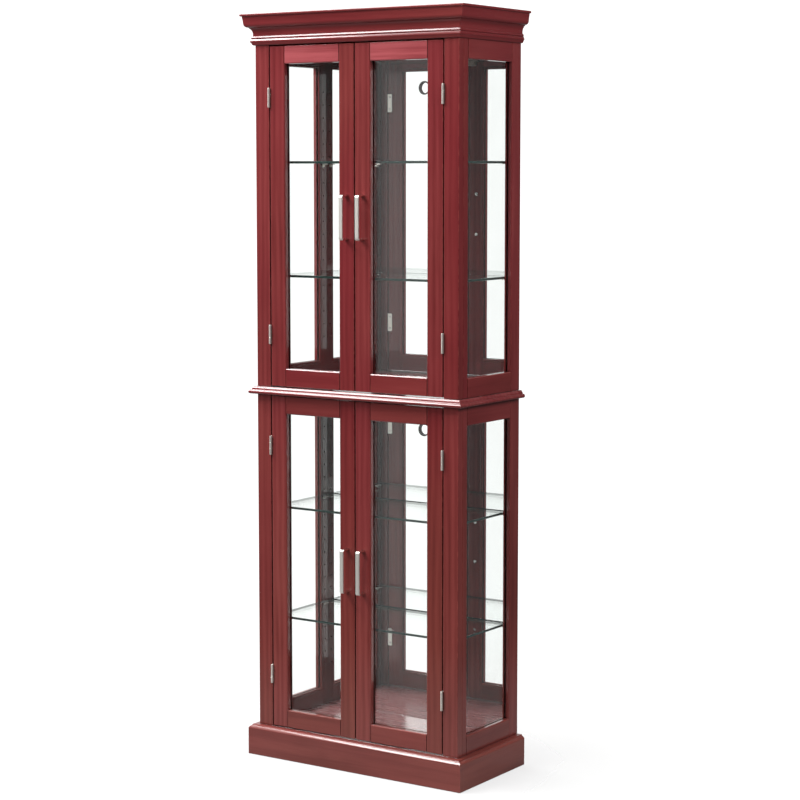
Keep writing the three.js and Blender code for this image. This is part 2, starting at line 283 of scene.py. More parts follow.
def hardboard(name):
    m = Nodes(name)
    o = m.obj()
    fibre = m.noise(m.vmul(o, (60.0, 60.0, 60.0)), 6.0, 6.0, 0.7)
    cloud = m.noise(o, 3.2, 4.0, 0.6)
    fleck = m.span(m.noise(m.vmul(o, (140.0, 140.0, 60.0)), 3.0, 2.0, 0.5), 0.62, 0.72, 0.0, 0.6)
    c = m.ramp(fibre, [(0.25, (0.085, 0.046, 0.028)), (0.6, (0.15, 0.085, 0.052)), (0.85, (0.21, 0.13, 0.085))])
    c = m.mix(m.span(cloud, 0.4, 0.7, 0.0, 0.4), c, (0.10, 0.058, 0.037))
    c = m.mix(fleck, c, (0.26, 0.17, 0.11))
    b = m.n("ShaderNodeBsdfPrincipled")
    m.l(c, b.inputs["Base Color"])
    m.l(m.math("MULTIPLY_ADD", fibre, 0.25, 0.5), b.inputs["Roughness"])
    m.l(m.bump(fibre, 0.35, 0.0004), b.inputs["Normal"])
    m.l(b.outputs[0], m.out.inputs[0])
    return m.mat


def moulded_plastic(name, colour, rough=0.45):
    m = Nodes(name)
    o = m.obj()
    grain = m.noise(o, 900.0, 3.0, 0.6)
    cloud = m.noise(o, 70.0, 3.0, 0.6)
    b = m.n("ShaderNodeBsdfPrincipled")
    m.l(m.mix(m.span(cloud, 0.3, 0.7, 0.0, 0.5), colour, tuple(c * 0.8 for c in colour)), b.inputs["Base Color"])
    m.l(m.math("MULTIPLY_ADD", grain, 0.2, rough - 0.1), b.inputs["Roughness"])
    m.l(m.bump(grain, 0.2, 0.00012), b.inputs["Normal"])
    m.l(b.outputs[0], m.out.inputs[0])
    return m.mat


TINTS = ((0.088, 0.008, 0.010), (0.152, 0.014, 0.017), (0.205, 0.026, 0.027), (0.41, 0.090, 0.100), (0.32, 0.075, 0.060))
WOOD = lacquered_wood("cherry_lacquer", *TINTS)
# deck lacquer: paler pigment painted in for the deck's reflection of the bright surround; its strong coat also reflects
# for real
DECK_PAINTED_REFLECTION = ((0.150, 0.040, 0.042), (0.270, 0.090, 0.094), (0.360, 0.140, 0.145), (0.60, 0.28, 0.29), (0.42, 0.17, 0.16))
GLOSS_PAINTED_REFLECTION = lacquered_wood("cherry_lacquer_deck_painted_reflection", *DECK_PAINTED_REFLECTION, coat=1.0, rough=0.26, coat_rough=0.15, coat_ior=2.3, spec=0.5)
NICKEL = satin_nickel("satin_nickel_brushed")
PULL = satin_nickel("satin_nickel_pull", (0.96, 0.92, 0.86), 0.44, metal=0.84)
POLISHED = satin_nickel("polished_nickel", (0.86, 0.80, 0.74), 0.2, metal=1.0)
STEEL = satin_nickel("bright_steel", (0.62, 0.62, 0.61), 0.28, (60.0, 60.0, 60.0))
PANE = pane_glass("float_glass")
# the four door panes: how much of the room each one throws back in the photograph's light
DOOR_PANE = {
    ("upper", "left"): pane_glass("float_glass_upper_left", film=0.006),
    ("lower", "left"): pane_glass("float_glass_lower_left", film=0.013),
    ("upper", "right"): pane_glass("float_glass_upper_right", film=0.029),
    ("lower", "right"): pane_glass("float_glass_lower_right", film=0.027),
}
EDGE = glass_edge("float_glass_edge")
MIRROR = silvered("mirror_silver")
BOARD = hardboard("hardboard_back")
IVORY = moulded_plastic("ivory_plastic", (0.60, 0.56, 0.48))
BROWN = moulded_plastic("brown_plastic", (0.095, 0.075, 0.078))


# ------------------------------------------------------------------ mesh helpers
class Piece:
    """Gathers closed bodies into one mesh, with each board's own grain coordinates."""

    def __init__(self, name, body, slot, mats, replaces=()):
        self.name, self.body, self.slot_name, self.mats, self.rep = name, body, slot, mats, replaces
        self.v, self.f, self.g, self.p, self.h, self.mi, self.t = [], [], [], [], [], [], []

    def add(self, bm, axis="Z", mat=0, edge_mat=None, tone_and_sheen=None):
        """axis: the direction that the grain runs in. The tone argument, 0 to 1, moves the board towards the pale tint:
        a random stain tone if not given, and painted light where set high (a painted highlight on the upper doors' top
        rails, a painted reflection on the bottom panel).
        """
        tone_and_sheen = rng.uniform(0.02, 0.2) if tone_and_sheen is None else tone_and_sheen
        bm.verts.ensure_lookup_table()
        bmesh.ops.recalc_face_normals(bm, faces=bm.faces)
        lo = Vector((min(v.co[i] for v in bm.verts) for i in range(3)))
        hi = Vector((max(v.co[i] for v in bm.verts) for i in range(3)))
        c, half = (lo + hi) / 2, (hi - lo) / 2
        off = Vector((rng.uniform(0, 7), rng.uniform(0, 7), rng.uniform(0, 7)))
        order = {"X": (0, 1, 2), "Y": (1, 0, 2), "Z": (2, 0, 1)}[axis]
        n0 = len(self.v)
        for v in bm.verts:
            self.v.append(v.co.copy())
            q = v.co - c
            self.g.append(Vector((q[order[0]], q[order[1]], q[order[2]])) + off)
            self.p.append(q)
            self.h.append(half)
            self.t.append(tone_and_sheen)
        for f in bm.faces:
            self.f.append([n0 + v.index for v in f.verts])
            self.mi.append(f.material_index if edge_mat is not None else mat)
        bm.free()

    def done(self, sharp=40):
        me = bpy.data.meshes.new(self.name)
        me.from_pydata([tuple(v) for v in self.v], [], self.f)
        for label, data in (("grain", self.g), ("bpos", self.p), ("bhalf", self.h)):
            a = me.attributes.new(label, "FLOAT_VECTOR", "POINT")
            a.data.foreach_set("vector", [x for v in data for x in v])
        a = me.attributes.new("tone_and_sheen", "FLOAT", "POINT")
        a.data.foreach_set("value", self.t)
        for m in self.mats:
            me.materials.append(m)
        me.polygons.foreach_set("material_index", self.mi)
        me.polygons.foreach_set("use_smooth", [True] * len(self.f))
        me.update()
        me.set_sharp_from_angle(angle=math.radians(sharp))
        o = bpy.data.objects.new(self.name, me)
        bpy.context.scene.collection.objects.link(o)
        w = o.modifiers.new("flats", "WEIGHTED_NORMAL")
        w.mode, w.weight, w.keep_sharp = "FACE_AREA", 60, True
        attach(o, self.body)
        if self.rep:
            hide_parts(*self.rep)
        return o


def reindex(bm):
    bm.verts.index_update()
    bm.verts.ensure_lookup_table()
    bm.normal_update()
    return bm


def block(lo, hi, r=0.8, seg=2):
    """Rectangular bar with rounded arrises, millimetres."""
    a = Vector([min(x, y) for x, y in zip(lo, hi)]) * MM
    b = Vector([max(x, y) for x, y in zip(lo, hi)]) * MM
    bm = bmesh.new()
    bmesh.ops.create_cube(bm, size=1.0)
    for v in bm.verts:
        v.co = Vector([a[i] if v.co[i] < 0 else b[i] for i in range(3)])
    if r > 0:
        res = bmesh.ops.bevel(bm, geom=list(bm.edges), offset=r * MM, segments=seg, profile=0.5, affect="EDGES", clamp_overlap=True)
        for f in res["faces"]:
            f.smooth = True
    return reindex(bm)


def fillet(points, radius, seg=3):
    """Rounds the corners of a closed polygon. radius: one number, or one per corner."""
    out = []
    n = len(points)
    for i in range(n):
        p0, p1, p2 = (Vector(points[i - 1]), Vector(points[i]), Vector(points[(i + 1) % n]))
        r = radius[i] if isinstance(radius, (list, tuple)) else radius
        a, b = p0 - p1, p2 - p1
        if r <= 0 or a.length < 1e-9 or b.length < 1e-9:
            out.append(tuple(p1))
            continue
        ang = a.angle(b)
        if ang > math.pi - 0.05:
            out.append(tuple(p1))
            continue
        t = min(r / math.tan(ang / 2), a.length * 0.45, b.length * 0.45)
        rr = t * math.tan(ang / 2)
        c = p1 + (a.normalized() + b.normalized()).normalized() * (rr / math.sin(ang / 2))
        s, e = p1 + a.normalized() * t - c, p1 + b.normalized() * t - c
        for k in range(seg + 1):
            w = k / seg
            d = (s * (1 - w) + e * w)
            d = d.normalized() * rr
            out.append(tuple(c + d))
    return out


def prism(points, place, a, b, chamfer=0.5):
    """Extrudes a closed 2-D outline (mm) from a to b. place(u, v, t) gives the 3-D point in mm. Ends are chamfered."""
    n = len(points)
    area = sum(points[i][0] * points[(i + 1) % n][1] - points[(i + 1) % n][0] * points[i][1] for i in range(n))
    pts = list(points) if area > 0 else list(points)[::-1]

    def inset(d):
        out = []
        for i in range(n):
            p0, p1, p2 = Vector(pts[i - 1]), Vector(pts[i]), Vector(pts[(i + 1) % n])
            e1, e2 = (p1 - p0), (p2 - p1)
            if e1.length < 1e-9 or e2.length < 1e-9:
                out.append(pts[i])
                continue
            n1 = Vector((-e1.y, e1.x)).normalized()
            n2 = Vector((-e2.y, e2.x)).normalized()
            m = n1 + n2
            m = m / max(m.length_squared * 0.5, 0.35)
            out.append((p1.x + m.x * d, p1.y + m.y * d))
        return out

    s = 1 if b > a else -1
    rings = [(inset(chamfer), a), (pts, a + s * chamfer), (pts, b - s * chamfer), (inset(chamfer), b)] if chamfer > 0 else [(pts, a), (pts, b)]
    bm = bmesh.new()
    rows = [[bm.verts.new(Vector(place(x, y, t)) * MM) for x, y in ring] for ring, t in rings]
    for r0, r1 in zip(rows, rows[1:]):
        for i in range(n):
            j = (i + 1) % n
            f = bm.faces.new((r0[i], r0[j], r1[j], r1[i]))
            f.smooth = True
    bm.faces.new(rows[0][::-1])
    bm.faces.new(rows[-1])
    return reindex(bm)


def strip(path, t, x0, x1, r):
    """Flat bar t thick, from x0 to x1 across, bent along a path of (y, z) points. Arrises rounded by r."""
    k = 3
    sec = []
    for cx, cn, a0 in ((x1 - r, t / 2 - r, 0), (x0 + r, t / 2 - r, 90), (x0 + r, r - t / 2, 180), (x1 - r, r - t / 2, 270)):
        for i in range(k + 1):
            a = math.radians(a0 + 90 * i / k)
            sec.append((cx + r * math.cos(a), cn + r * math.sin(a)))
    bm = bmesh.new()
    rows = []
    for i, p in enumerate(path):
        a = Vector(path[max(i - 1, 0)])
        b = Vector(path[min(i + 1, len(path) - 1)])
        d = (b - a).normalized()
        nrm = Vector((d.y, -d.x))
        q = Vector(p)
        rows.append([bm.verts.new(Vector((x, q.x + nrm.x * w, q.y + nrm.y * w)) * MM) for x, w in sec])
    m = len(sec)
    for r0, r1 in zip(rows, rows[1:]):
        for i in range(m):
            f = bm.faces.new((r0[i], r0[(i + 1) % m], r1[(i + 1) % m], r1[i]))
            f.smooth = True
    bm.faces.new(rows[0][::-1])
    bm.faces.new(rows[-1])
    return reindex(bm)


def turned(profile, centre, axis, sides=32, cut=None):
    """Solid of revolution. profile: [(radius, height)] from one end to the other, mm; closed on the axis."""
    bm = bmesh.new()
    ax = Vector(axis).normalized()
    u = ax.orthogonal().normalized()
    w = ax.cross(u)
    c = Vector(centre)
    rows = []
    for r, h in profile:
        if r < 1e-6:
            rows.append([bm.verts.new((c + ax * h) * MM)])
        else:
            rows.append([bm.verts.new((c + ax * h + (u * math.cos(t) + w * math.sin(t)) * r) * MM) for t in (2 * math.pi * k / sides for k in range(sides))])
    for r0, r1 in zip(rows, rows[1:]):
        for k in range(sides):
            j = (k + 1) % sides
            if len(r0) == 1 and len(r1) == 1:
                continue
            if len(r0) == 1:
                f = bm.faces.new((r0[0], r1[j], r1[k]))
            elif len(r1) == 1:
                f = bm.faces.new((r0[k], r0[j], r1[0]))
            else:
                f = bm.faces.new((r0[k], r0[j], r1[j], r1[k]))
            f.smooth = True
    return reindex(bm)


def screw_head(centre, axis, r=2.6, turn=0.4):
    """Countersunk screw with a cross recess."""
    bm = bmesh.new()
    ax = Vector(axis).normalized()
    u0 = ax.orthogonal().normalized()
    w0 = ax.cross(u0)
    u = u0 * math.cos(turn) + w0 * math.sin(turn)
    w = ax.cross(u)
    c = Vector(centre)

    def ring(rad, h, n=24):
        return [bm.verts.new((c + ax * h + (u * math.cos(2 * math.pi * k / n) + w * math.sin(2 * math.pi * k / n)) * rad) * MM) for k in range(n)]

    def at(a, b, h):
        return bm.verts.new((c + ax * h + u * a + w * b) * MM)

    n = 24
    rings = [ring(r * 0.55, -0.7), ring(r, 0.0), ring(r * 0.94, 0.22), ring(r * 0.72, 0.42)]
    for r0, r1 in zip(rings, rings[1:]):
        for k in range(n):
            f = bm.faces.new((r0[k], r0[(k + 1) % n], r1[(k + 1) % n], r1[k]))
            f.smooth = True
    bm.faces.new(rings[0][::-1])
    a, b, top, deep = r * 0.14, r * 0.52, 0.45, -0.35
    cross2d = [(b, -a), (b, a), (a, a), (a, b), (-a, b), (-a, a), (-b, a), (-b, -a), (-a, -a), (-a, -b), (a, -b), (a, -a)]
    ct = [at(x, y, top) for x, y in cross2d]
    cb = [at(x * 0.6, y * 0.6, deep) for x, y in cross2d]
    for k in range(12):
        bm.faces.new((ct[k], ct[(k + 1) % 12], cb[(k + 1) % 12], cb[k]))
    bm.faces.new(cb)
    # the flat of the head between the rim ring (24) and the cross outline (12)
    rim = rings[-1]
    for k in range(12):
        r0, r1, r2 = rim[(2 * k - 1) % n], rim[(2 * k) % n], rim[(2 * k + 1) % n]
        c0, c1 = ct[k], ct[(k + 1) % 12]
        bm.faces.new((r0, r1, c0))
        bm.faces.new((r1, r2, c1, c0))
    return reindex(bm)


def holes(bm, centres, axis, r=2.5, depth=9.0, sides=12):
    """Drills blind holes (mm) into a board along axis."""
    me = bpy.data.meshes.new("tmp_board")
    bm.to_mesh(me)
    bm.free()
    board = bpy.data.objects.new("tmp_board", me)
    bpy.context.scene.collection.objects.link(board)
    cm = bmesh.new()
    for c in centres:
        t = turned([(0, -depth), (r, -depth), (r, 2.0), (0, 2.0)], c, axis, sides)
        tm = bpy.data.meshes.new("tmp_cut")
        t.to_mesh(tm)
        t.free()
        cm.from_mesh(tm)
        bpy.data.meshes.remove(tm)
    bmesh.ops.recalc_face_normals(cm, faces=cm.faces)
    cme = bpy.data.meshes.new("tmp_cutter")
    cm.to_mesh(cme)
    cm.free()
    cutter = bpy.data.objects.new("tmp_cutter", cme)
    bpy.context.scene.collection.objects.link(cutter)
    mod = board.modifiers.new("cut", "BOOLEAN")
    mod.operation, mod.solver, mod.object = "DIFFERENCE", "EXACT", cutter
    dg = bpy.context.evaluated_depsgraph_get()
    dg.update()
    out = bmesh.new()
    out.from_mesh(board.evaluated_get(dg).to_mesh())
    board.evaluated_get(dg).to_mesh_clear()
    bpy.data.objects.remove(board)
    bpy.data.objects.remove(cutter)
    bpy.data.meshes.remove(me)
    bpy.data.meshes.remove(cme)
    for f in out.faces:
        f.material_index = 0
    return reindex(out)


# ------------------------------------------------------------------ dimensions, from the frame
def nb(node):
    lo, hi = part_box(node)
    return [x / MM for x in lo], [x / MM for x in hi]


HX = nb("upper_right_post")[1][0]
FRONT = nb("upper_right_post")[0][1]
BACK = nb("top_panel")[1][1]
REAR = nb("upper_right_post")[1][1]
ALL_HI = CAD_HI.z / MM
LEVELS = ("upper", "lower")
SIDES = (("left", -1), ("right", 1))


# ------------------------------------------------------------------ mouldings
def arc(cx, cz, r, a0, a1, n=6, rz=None):
    rz = r if rz is None else rz
    return [(cx + r * math.cos(math.radians(a0 + (a1 - a0) * k / n)), cz + rz * math.sin(math.radians(a0 + (a1 - a0) * k / n))) for k in range(n + 1)]


def mitred(name, points, which, replaces):
    """Moulding along the front or one side, mitred at the front corners. points: (overhang, height)."""
    if which == "front":
        def place(o, z, t):
            return ((HX + o - 0.06) * t, FRONT - o, z)
        bm = prism(points, place, -1, 1, 0)
        axis = "X"
    else:
        s = -1 if which == "left" else 1

        def place(o, z, t):
            y0 = FRONT - o + 0.06
            return (s * (HX + o), y0 + (BACK - y0) * t, z)
        bm = prism(points, place, 0, 1, 0)
        axis = "Y"
    p = Piece(name, "cabinet", "cherry_wood", [WOOD], replaces)
    p.add(bm, axis)
    return p.done(32)


Z0 = 1726.0
crown = (
    [(0.2, Z0), (1.2, Z0)]
    + arc(1.2, 1731.2, 5.2, -90, -20, 5)[1:]
    + arc(4.9, 1735.6, 4.2, -58, 18, 6)
    + [(8.5, 1737.3), (7.35, 1740.3), (6.4, 1741.1), (5.3, 1741.5)]
    + arc(4.3, 1743.7, 2.9, -50, 12, 4)
    + [(6.9, 1744.7), (6.0, 1747.05), (5.0, 1747.8), (3.9, 1748.1)]
    + arc(16.2, 1752.2, 12.3, 180, 121, 8, 16.0)
    + [(10.4, 1766.6), (11.3, 1766.9), (11.5, 1768.0)]
    + arc(12.6, 1778.2, 8.0, -82, -4, 9, 10.0)
    + [(21.4, 1785.0), (22.4, 1790.6), (22.7, 1793.6), (23.2, 1794.2), (25.4, 1794.4)]
    + arc(25.5, 1796.0, 1.5, -80, 0, 3)
    + arc(25.6, 1798.5, 1.4, 0, 90, 3, 1.5)
    + [(0.2, 1800)]
)
plinth = (
    [(0.2, 0), (19.2, 0), (20, 0.8), (20, 64.4)]
    + [(19.9, 65.5), (19.5, 66.3), (16.55, 69.5), (15.9, 70.0), (15.3, 70.25)]
    + arc(15.6, 73.1, 2.8, 250, 195, 3)
    + [(12.6, 73.0), (12.0, 73.8), (11.2, 74.0), (0.2, 74)]
)
for side, nm in (("front", "front"), ("left", "left"), ("right", "right")):
    mitred(f"crown_moulding_{nm}", crown, side, [f"cornice_{nm}"])
    mitred(f"plinth_moulding_{nm}", plinth, side, [f"plinth_{nm}"])


def waist():
    """One board with its moulded edge run round the front and both sides."""
    prof = (
        [(13.2, 892.0)]
        + arc(12.1, 896.2, 4.2, -75, 22, 7, 4.2)
        + [(15.8, 898.4), (14.2, 900.8), (13.5, 901.25), (11.0, 901.5)]
        + [(10.2, 902.2), (9.6, 903.8), (9.2, 905.8), (8.5, 906.2), (7.5, 907.75)]
        + arc(5.2, 908.6, 1.6, 10, 90, 3, 1.4)
    )
    bm = bmesh.new()
    rows = []
    for o, z in prof:
        c = [(-HX - o, BACK), (-HX - o, FRONT - o), (HX + o, FRONT - o), (HX + o, BACK)]
        rows.append([bm.verts.new(Vector((x, y, z)) * MM) for x, y in c])
    for r0, r1 in zip(rows, rows[1:]):
        for i in range(4):
            f = bm.faces.new((r0[i], r0[(i + 1) % 4], r1[(i + 1) % 4], r1[i]))
            f.smooth = i != 3
    bm.faces.new(rows[0][::-1])
    # top face in the deck lacquer, with its pale painted reflection
    bm.faces.new(rows[-1]).material_index = 1
    p = Piece("waist_board_moulded", "cabinet", "cherry_wood", [WOOD, GLOSS_PAINTED_REFLECTION], ["waist_board"])
    p.add(reindex(bm), "X", edge_mat=1)
    return p.done(32)


waist()

# ------------------------------------------------------------------ carcass boards
for nm in ("bottom_panel", "top_panel", "ceiling_panel"):
    lo, hi = nb(nm)
    p = Piece(nm + "_board", "cabinet", "cherry_wood", [GLOSS_PAINTED_REFLECTION if nm == "bottom_panel" else WOOD], [nm])
    # the bottom panel's high tone sends it to the pale deck tint: painted reflection
    p.add(block(lo, hi, 0.6, 2), "X", tone_and_sheen=0.7 if nm == "bottom_panel" else None)
    p.done(50)

lo, hi = nb("bottom_panel")
p = Piece("plinth_back_rail", "cabinet", "cherry_wood", [WOOD])
p.add(block((-HX + 0.6, BACK - 18, 8), (HX - 0.6, BACK - 0.2, lo[2] - 0.3), 0.8), "X")
for sx in (-1, 1):
    for y in (FRONT + 24, BACK - 42):
        p.add(block((sx * (HX - 26), y - 12, 10), (sx * (HX - 0.8), y + 12, lo[2] - 0.3), 1.0), "Z")
p.done(50)

for level in LEVELS:
    for side, s in SIDES:
        lo, hi = nb(f"{level}_{side}_post")
        p = Piece(f"{level}_{side}_corner_post", "cabinet", "cherry_wood", [WOOD], [f"{level}_{side}_post"])
        p.add(block(lo, hi, 0.9, 2), "Z")
        p.done(50)


def side_frame(level, side, s):
    lo, hi = nb(f"{level}_{side}_side_frame")
    glo, ghi = nb(f"{level}_{side}_side_glass")
    y0, y1, z0, z1 = lo[1], hi[1], lo[2], hi[2]
    ya, yb = glo[1] + 6.7, ghi[1] - 6.7
    s0, s1 = glo[2] + 6.7, ghi[2] - 6.7
    xo, xi, xs = s * HX, s * (HX - 20), s * (HX - 10)
    rb = 7.0
    p = Piece(f"{level}_{side}_side_framing", "cabinet", "cherry_wood", [WOOD], [f"{level}_{side}_side_frame"])

    def stile(a, b, c):
        # a: outer edge, b: sight edge, c: rebate edge; outline in (x, y)
        d = 1 if b > a else -1
        pts = [(xo, a), (xo, b - d * 1.8), (xo - s * 1.8, b), (xs, b), (xs, c), (xi, c), (xi, a)]
        rad = [0.9, 0.9, 0.9, 0, 0, 0.8, 0.8]
        return prism(fillet(pts, rad, 3), lambda x, y, t: (x, y, t), z0, z1, 0.4)

    front = stile(y0, ya, ya - rb)
    rear = stile(y1, yb, yb + rb)
    zs = [z for z in range(int(s0) + 60, int(s1) - 40, 32)]
    front = holes(front, [(xi, y0 + 6.2, z) for z in zs], (-s, 0, 0))
    rear = holes(rear, [(xi, yb + rb + 8.5, z) for z in zs], (-s, 0, 0))
    p.add(front, "Z")
    p.add(rear, "Z")

    def rail(a, b, c):
        d = 1 if b > a else -1
        pts = [(xo, a), (xo, b - d * 2.0), (xo - s * 1.6, b), (xs, b), (xs, c), (xi, c), (xi, a)]
        rad = [0.7, 0.9, 0.7, 0, 0, 0.8, 0.7]
        return prism(fillet(pts, rad, 3), lambda x, z, t: (x, t, z), ya + 0.12, yb - 0.12, 0.35)

    p.add(rail(z0, s0, s0 - rb), "Y")
    p.add(rail(z1, s1, s1 + rb), "Y")
    for z_a, z_b in ((z0, s0 - rb), (s1 + rb, z1)):
        p.add(block((xi, ya - rb + 0.05, z_a), (xs, ya - 0.02, z_b), 0.1, 1), "Y")
        p.add(block((xi, yb + 0.02, z_a), (xs, yb + rb - 0.05, z_b), 0.1, 1), "Y")
    p.done(38)

    # beads that hold the glass, on the inside
    g1 = min(abs(glo[0]), abs(ghi[0])) - 0.2
    q = Piece(f"{level}_{side}_side_glass_beads", "cabinet", "cherry_wood", [WOOD])
    w = rb - 0.4

    def bead(y_a, y_b, z_a, z_b, axis):
        q.add(block((s * g1, y_a, z_a), (s * (HX - 19.4), y_b, z_b), 1.3, 3), axis)

    bead(ya - rb + 0.3, ya - 0.1, s0 - rb + 0.3, s1 + rb - 0.3, "Z")
    bead(yb + 0.1, yb + rb - 0.3, s0 - rb + 0.3, s1 + rb - 0.3, "Z")
    bead(ya, yb, s0 - rb + 0.3, s0 - 0.1, "Y")
    bead(ya, yb, s1 + 0.1, s1 + rb - 0.3, "Y")
    q.done(50)


def pane(name, node, body, glass=None):
    lo, hi = nb(node)
    thin = min(range(3), key=lambda i: hi[i] - lo[i])
    bm = block(lo, hi, 0.7, 2)
    for f in bm.faces:
        f.material_index = 0 if abs(f.normal[thin]) > 0.9 else 1
    p = Piece(name, body, "clear_glass", [glass or PANE, EDGE], [node])
    p.add(bm, "Z", edge_mat=1)
    return p.done()


for level in LEVELS:
    for side, s in SIDES:
        side_frame(level, side, s)
        pane(f"{level}_{side}_side_pane", f"{level}_{side}_side_glass", "cabinet")
    for i in (1, 2):
        pane(f"{level}_glass_shelf_{i}", f"{level}_shelf_{i}", "cabinet")


# ------------------------------------------------------------------ mirrors, backs, cord outlets
def drilled(name, node, slot_name, mat, hole, r=14.0):
    lo, hi = nb(node)
    bm = block(lo, hi, 0.5, 1)
    bm = holes(bm, [(hole[0], lo[1], hole[1])], (0, -1, 0), r, 30, 48)
    p = Piece(name, "cabinet", slot_name, [mat], [node])
    p.add(bm, "Z")
    return p.done()


OUTLET = {"upper": (24, 1628), "lower": (24, 798)}
for level in LEVELS:
    hx, hz = OUTLET[level]
    drilled(f"{level}_mirror_glass", f"{level}_mirror", "mirror_back", MIRROR, (hx, hz))
    drilled(f"{level}_backing", f"{level}_back_board", "backing_board", BOARD, (hx, hz))
    my = nb(f"{level}_mirror")[0][1]
    by = nb(f"{level}_back_board")[1][1]
    # lining ring of the outlet, from the mirror face through the board
    bm = turned([(13.0, -1.0), (15.8, -1.0), (16.5, -0.5), (16.5, -0.12), (13.8, -0.12), (13.8, by - my + 0.4),
                 (13.0, by - my + 0.4), (13.0, -1.1)], (hx, my, hz), (0, 1, 0), 48)
    p = Piece(f"{level}_cord_outlet_ring", "cabinet", "catch_plastic", [BROWN])
    p.add(bm, "Z")
    p.done(30)
    # brads that hold the back board
    lo, hi = nb(f"{level}_back_board")
    p = Piece(f"{level}_back_brads", "cabinet", "satin_nickel", [STEEL])
    pts = []
    for k in range(7):
        z = lo[2] + 22 + (hi[2] - lo[2] - 44) * k / 6
        pts += [(lo[0] + 7, z), (hi[0] - 7, z)]
    for k in range(1, 5):
        x = lo[0] + (hi[0] - lo[0]) * k / 5
        pts += [(x, lo[2] + 8), (x, hi[2] - 8)]
    for x, z in pts:
        p.add(turned([(0, -0.5), (1.7, -0.2), (1.9, 0.3), (1.4, 0.7), (0, 0.85)], (x, hi[1], z), (0, 1, 0), 16), "Y")
    p.done()

# ------------------------------------------------------------------ shelf supports
for level in LEVELS:
    for i in (1, 2):
        lo, hi = nb(f"{level}_shelf_{i}")
        p = Piece(f"{level}_shelf_{i}_supports", "cabinet", "satin_nickel", [NICKEL])
        for side, s in SIDES:
            for y in (lo[1] + 8, hi[1] - 9):
                x = s * (HX - 20)
                z = lo[2]
                p.add(turned([(0, -8), (2.4, -8), (2.4, -0.2), (3.9, -0.1), (3.9, 1.1), (2.3, 1.3), (2.3, 3.2), (0, 3.3)],
                             (x, y, z - 4.2), (-s, 0, 0), 20), "X")
                pts = fillet([(x - s * 1.1, z - 7.6), (x - s * 2.5, z - 7.6), (x - s * 2.5, z - 1.7), (x - s * 12.5, z - 1.7),
                              (x - s * 12.5, z - 0.15), (x - s * 1.1, z - 0.15)], [0.5, 0.5, 0.8, 0.5, 0.5, 0.8], 2)
                p.add(prism(pts, lambda u, v, t: (u, t, v), y - 4.2, y + 4.2, 0.3), "X")
        p.done(40)


